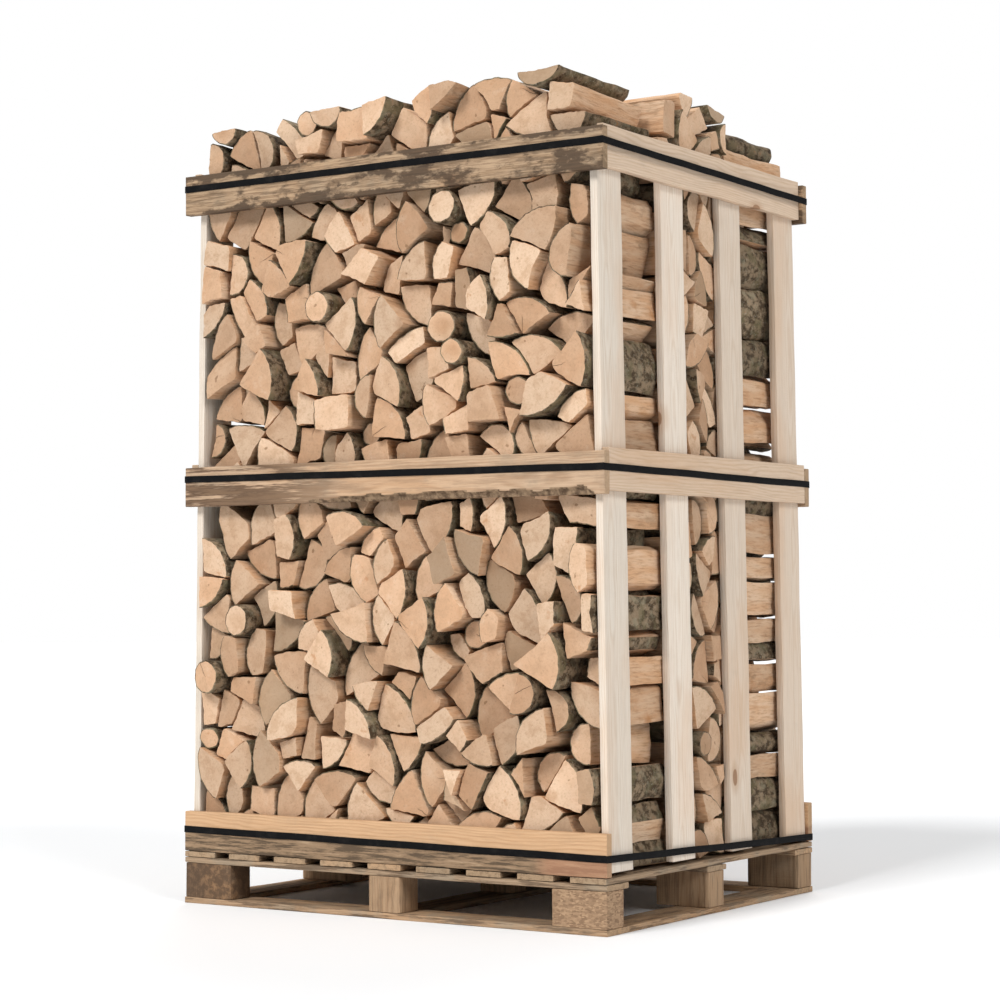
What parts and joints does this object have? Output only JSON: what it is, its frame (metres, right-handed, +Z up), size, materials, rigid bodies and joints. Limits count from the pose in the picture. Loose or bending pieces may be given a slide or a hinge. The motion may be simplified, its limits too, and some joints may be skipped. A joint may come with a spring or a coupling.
{
  "type": "palletised firewood crate",
  "caption": "Slatted wooden crate on a block pallet, filled with stacked split firewood heaped over its top rail and held by black straps.",
  "frame": {"origin": "middle of the pallet's footprint, on the ground", "axes": "+Z up, +Y from the front rails to the back rails, +X to the right as seen from the front"},
  "size_m": [1.2026, 1.044, 1.9375],
  "materials": {
    "split_log": "rough sawn ends, fibrous split faces and grey-brown bark",
    "weathered_rail": "rough sawn softwood with dark weather stains",
    "clean_rail": "rough sawn softwood",
    "slat_wood": "pale planed softwood with small knots",
    "pallet_wood": "weathered grey-brown sawn boards",
    "block_wood": "dirty, scuffed sawn and pressed blocks",
    "strap_plastic": "matte black strapping band"
  },
  "bodies": {
    "root": {"back_rail_bottom": "clean_rail", "back_rail_middle": "weathered_rail", "back_rail_top": "weathered_rail", "back_row_of_logs": "split_log", "block_back_left": "block_wood", "block_back_middle": "block_wood", "block_back_right": "block_wood", "block_centre_left": "block_wood", "block_centre_middle": "block_wood", "block_centre_right": "block_wood", "block_front_left": "block_wood", "block_front_middle": "block_wood", "block_front_right": "block_wood", "bottom_board_back": "pallet_wood", "bottom_board_front": "pallet_wood", "bottom_board_left": "pallet_wood", "bottom_board_middle": "pallet_wood", "bottom_board_right": "pallet_wood", "bottom_strap": "strap_plastic", "cross_logs_centre": "split_log", "cross_logs_left": "split_log", "cross_logs_right": "split_log", "deck_board_1": "pallet_wood", "deck_board_2": "pallet_wood", "deck_board_3": "pallet_wood", "deck_board_4": "pallet_wood", "deck_board_5": "pallet_wood", "deck_board_6": "pallet_wood", "deck_board_7": "pallet_wood", "deck_board_8": "pallet_wood", "deck_board_9": "pallet_wood", "front_rail_bottom": "clean_rail", "front_rail_middle": "weathered_rail", "front_rail_top": "weathered_rail", "front_row_of_logs": "split_log", "left_rail_middle": "clean_rail", "left_rail_top": "clean_rail", "left_slat_1": "slat_wood", "left_slat_2": "slat_wood", "left_slat_3": "slat_wood", "left_slat_4": "slat_wood", "middle_strap": "strap_plastic", "right_rail_middle": "clean_rail", "right_rail_top": "clean_rail", "right_slat_1": "slat_wood", "right_slat_2": "slat_wood", "right_slat_3": "slat_wood", "right_slat_4": "slat_wood", "stringer_back": "pallet_wood", "stringer_centre": "pallet_wood", "stringer_front": "pallet_wood", "top_strap": "strap_plastic"}
  },
  "joints": []
}
